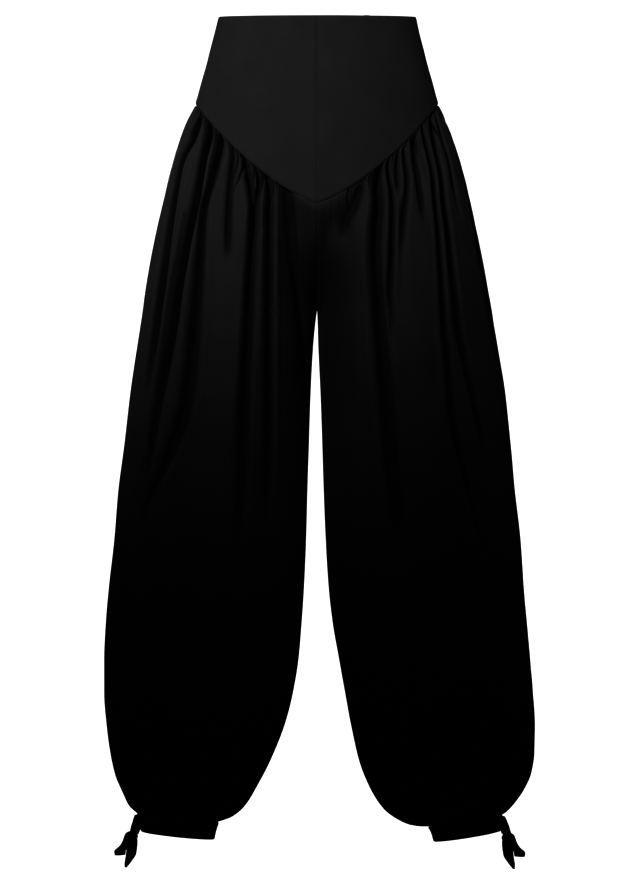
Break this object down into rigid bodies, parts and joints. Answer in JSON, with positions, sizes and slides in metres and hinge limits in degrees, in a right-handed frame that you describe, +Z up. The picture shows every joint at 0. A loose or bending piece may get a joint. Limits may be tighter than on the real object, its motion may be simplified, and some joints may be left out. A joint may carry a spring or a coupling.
{
  "type": "balloon pants",
  "caption": "High-waisted black cotton balloon trousers: fitted pointed yoke, full gathered legs and narrow ankle bands closed with knotted ties.",
  "frame": {"origin": "middle of the waist opening, level with its edge, where the wearer's waist holds the trousers up", "axes": "+Z up, -Y to the wearer's front, +X to the wearer's left"},
  "size_m": [0.5475, 0.3041, 1.0836],
  "materials": {
    "black_cotton": "matte fine plain weave",
    "black_metal": "satin black lacquer"
  },
  "bodies": {
    "trousers": {"ankle_band_left": "black_cotton", "ankle_band_right": "black_cotton", "ankle_tie_left": "black_cotton", "ankle_tie_right": "black_cotton", "leg_back_left": "black_cotton", "leg_back_right": "black_cotton", "leg_front_left": "black_cotton", "leg_front_right": "black_cotton", "yoke_back_left": "black_cotton", "yoke_back_right": "black_cotton", "yoke_front_left": "black_cotton", "yoke_front_right": "black_cotton", "zip_slider": "black_metal"},
    "zip_pull": {"zip_pull": "black_metal"}
  },
  "joints": [
    {"name": "zip_pull_swing", "type": "hinge", "parent": "trousers", "child": "zip_pull", "pos_m": [0, 0.09261, -0.0095], "axis": [1, 0, 0], "range_deg": [0, 150]}
  ]
}
